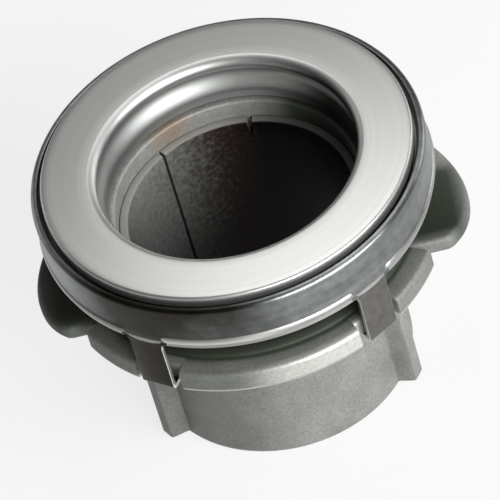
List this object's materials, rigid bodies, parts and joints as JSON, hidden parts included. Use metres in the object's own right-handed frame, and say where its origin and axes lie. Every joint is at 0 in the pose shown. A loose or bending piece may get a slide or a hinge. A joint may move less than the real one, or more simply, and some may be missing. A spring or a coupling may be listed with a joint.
{
  "type": "clutch release bearing",
  "caption": "Self-centring clutch release bearing: a flat rotating contact ring in a pressed cover, on a cast guide sleeve with fork pads.",
  "frame": {"origin": "on the bearing's axis, in the plane of the guide sleeve's foot", "axes": "+Z along the axis towards the contact face, X through the two fork pads"},
  "size_m": [0.078, 0.0706, 0.052],
  "materials": {
    "cast_sleeve": "matte cast",
    "liner": "dark coated",
    "spring_steel": "rolled",
    "cover_sheet": "pressed",
    "bearing_steel": "turned",
    "ground_steel": "ground",
    "seal_rubber": "moulded",
    "cage_polymer": "moulded",
    "ball_steel": "polished"
  },
  "bodies": {
    "sleeve": {"guide_sleeve": "cast_sleeve", "guide_liner": "liner"},
    "spring": {"wave_spring": "spring_steel"},
    "housing": {"cover": "cover_sheet", "fixed_ring": "bearing_steel", "outer_seal": "seal_rubber", "inner_seal": "seal_rubber"},
    "ring": {"contact_ring": "ground_steel"},
    "cage": {"ball_cage": "cage_polymer"},
    "ball_01": {"ball_01": "ball_steel"},
    "ball_02": {"ball_02": "ball_steel"},
    "ball_03": {"ball_03": "ball_steel"},
    "ball_04": {"ball_04": "ball_steel"},
    "ball_05": {"ball_05": "ball_steel"},
    "ball_06": {"ball_06": "ball_steel"},
    "ball_07": {"ball_07": "ball_steel"},
    "ball_08": {"ball_08": "ball_steel"},
    "ball_09": {"ball_09": "ball_steel"},
    "ball_10": {"ball_10": "ball_steel"},
    "ball_11": {"ball_11": "ball_steel"},
    "ball_12": {"ball_12": "ball_steel"},
    "ball_13": {"ball_13": "ball_steel"},
    "ball_14": {"ball_14": "ball_steel"},
    "ball_15": {"ball_15": "ball_steel"},
    "ball_16": {"ball_16": "ball_steel"},
    "ball_17": {"ball_17": "ball_steel"},
    "ball_18": {"ball_18": "ball_steel"},
    "ball_19": {"ball_19": "ball_steel"},
    "ball_20": {"ball_20": "ball_steel"}
  },
  "joints": [
    {"name": "centre_x", "type": "slide", "parent": "sleeve", "child": "spring", "axis": [1, 0, 0], "range_m": [-0.0007, 0.0007]},
    {"name": "centre_y", "type": "slide", "parent": "spring", "child": "housing", "axis": [0, 1, 0], "range_m": [-0.0007, 0.0007]},
    {"name": "ring_spin", "type": "hinge", "parent": "housing", "child": "ring", "pos_m": [0, 0, 0.046], "axis": [0, 0, 1], "continuous": true},
    {"name": "cage_spin", "type": "hinge", "parent": "housing", "child": "cage", "pos_m": [0, 0, 0.046], "axis": [0, 0, 1], "continuous": true},
    {"name": "ball_01_spin", "type": "hinge", "parent": "cage", "child": "ball_01", "pos_m": [0.0286, 0, 0.046], "axis": [0.5, 0, 0.866], "continuous": true},
    {"name": "ball_02_spin", "type": "hinge", "parent": "cage", "child": "ball_02", "pos_m": [0.0272, 0.00884, 0.046], "axis": [0.4755, 0.1545, 0.866], "continuous": true},
    {"name": "ball_03_spin", "type": "hinge", "parent": "cage", "child": "ball_03", "pos_m": [0.02314, 0.01681, 0.046], "axis": [0.4045, 0.2939, 0.866], "continuous": true},
    {"name": "ball_04_spin", "type": "hinge", "parent": "cage", "child": "ball_04", "pos_m": [0.01681, 0.02314, 0.046], "axis": [0.2939, 0.4045, 0.866], "continuous": true},
    {"name": "ball_05_spin", "type": "hinge", "parent": "cage", "child": "ball_05", "pos_m": [0.00884, 0.0272, 0.046], "axis": [0.1545, 0.4755, 0.866], "continuous": true},
    {"name": "ball_06_spin", "type": "hinge", "parent": "cage", "child": "ball_06", "pos_m": [0, 0.0286, 0.046], "axis": [0, 0.5, 0.866], "continuous": true},
    {"name": "ball_07_spin", "type": "hinge", "parent": "cage", "child": "ball_07", "pos_m": [-0.00884, 0.0272, 0.046], "axis": [-0.1545, 0.4755, 0.866], "continuous": true},
    {"name": "ball_08_spin", "type": "hinge", "parent": "cage", "child": "ball_08", "pos_m": [-0.01681, 0.02314, 0.046], "axis": [-0.2939, 0.4045, 0.866], "continuous": true},
    {"name": "ball_09_spin", "type": "hinge", "parent": "cage", "child": "ball_09", "pos_m": [-0.02314, 0.01681, 0.046], "axis": [-0.4045, 0.2939, 0.866], "continuous": true},
    {"name": "ball_10_spin", "type": "hinge", "parent": "cage", "child": "ball_10", "pos_m": [-0.0272, 0.00884, 0.046], "axis": [-0.4755, 0.1545, 0.866], "continuous": true},
    {"name": "ball_11_spin", "type": "hinge", "parent": "cage", "child": "ball_11", "pos_m": [-0.0286, 0, 0.046], "axis": [-0.5, 0, 0.866], "continuous": true},
    {"name": "ball_12_spin", "type": "hinge", "parent": "cage", "child": "ball_12", "pos_m": [-0.0272, -0.00884, 0.046], "axis": [-0.4755, -0.1545, 0.866], "continuous": true},
    {"name": "ball_13_spin", "type": "hinge", "parent": "cage", "child": "ball_13", "pos_m": [-0.02314, -0.01681, 0.046], "axis": [-0.4045, -0.2939, 0.866], "continuous": true},
    {"name": "ball_14_spin", "type": "hinge", "parent": "cage", "child": "ball_14", "pos_m": [-0.01681, -0.02314, 0.046], "axis": [-0.2939, -0.4045, 0.866], "continuous": true},
    {"name": "ball_15_spin", "type": "hinge", "parent": "cage", "child": "ball_15", "pos_m": [-0.00884, -0.0272, 0.046], "axis": [-0.1545, -0.4755, 0.866], "continuous": true},
    {"name": "ball_16_spin", "type": "hinge", "parent": "cage", "child": "ball_16", "pos_m": [0, -0.0286, 0.046], "axis": [0, -0.5, 0.866], "continuous": true},
    {"name": "ball_17_spin", "type": "hinge", "parent": "cage", "child": "ball_17", "pos_m": [0.00884, -0.0272, 0.046], "axis": [0.1545, -0.4755, 0.866], "continuous": true},
    {"name": "ball_18_spin", "type": "hinge", "parent": "cage", "child": "ball_18", "pos_m": [0.01681, -0.02314, 0.046], "axis": [0.2939, -0.4045, 0.866], "continuous": true},
    {"name": "ball_19_spin", "type": "hinge", "parent": "cage", "child": "ball_19", "pos_m": [0.02314, -0.01681, 0.046], "axis": [0.4045, -0.2939, 0.866], "continuous": true},
    {"name": "ball_20_spin", "type": "hinge", "parent": "cage", "child": "ball_20", "pos_m": [0.0272, -0.00884, 0.046], "axis": [0.4755, -0.1545, 0.866], "continuous": true}
  ],
  "couplings": [
    {"joint": "cage_spin", "follows": "ring_spin", "ratio": 0.45794},
    {"joint": "ball_01_spin", "follows": "ring_spin", "ratio": -5.1112},
    {"joint": "ball_02_spin", "follows": "ring_spin", "ratio": -5.1112},
    {"joint": "ball_03_spin", "follows": "ring_spin", "ratio": -5.1112},
    {"joint": "ball_04_spin", "follows": "ring_spin", "ratio": -5.1112},
    {"joint": "ball_05_spin", "follows": "ring_spin", "ratio": -5.1112},
    {"joint": "ball_06_spin", "follows": "ring_spin", "ratio": -5.1112},
    {"joint": "ball_07_spin", "follows": "ring_spin", "ratio": -5.1112},
    {"joint": "ball_08_spin", "follows": "ring_spin", "ratio": -5.1112},
    {"joint": "ball_09_spin", "follows": "ring_spin", "ratio": -5.1112},
    {"joint": "ball_10_spin", "follows": "ring_spin", "ratio": -5.1112},
    {"joint": "ball_11_spin", "follows": "ring_spin", "ratio": -5.1112},
    {"joint": "ball_12_spin", "follows": "ring_spin", "ratio": -5.1112},
    {"joint": "ball_13_spin", "follows": "ring_spin", "ratio": -5.1112},
    {"joint": "ball_14_spin", "follows": "ring_spin", "ratio": -5.1112},
    {"joint": "ball_15_spin", "follows": "ring_spin", "ratio": -5.1112},
    {"joint": "ball_16_spin", "follows": "ring_spin", "ratio": -5.1112},
    {"joint": "ball_17_spin", "follows": "ring_spin", "ratio": -5.1112},
    {"joint": "ball_18_spin", "follows": "ring_spin", "ratio": -5.1112},
    {"joint": "ball_19_spin", "follows": "ring_spin", "ratio": -5.1112},
    {"joint": "ball_20_spin", "follows": "ring_spin", "ratio": -5.1112}
  ]
}
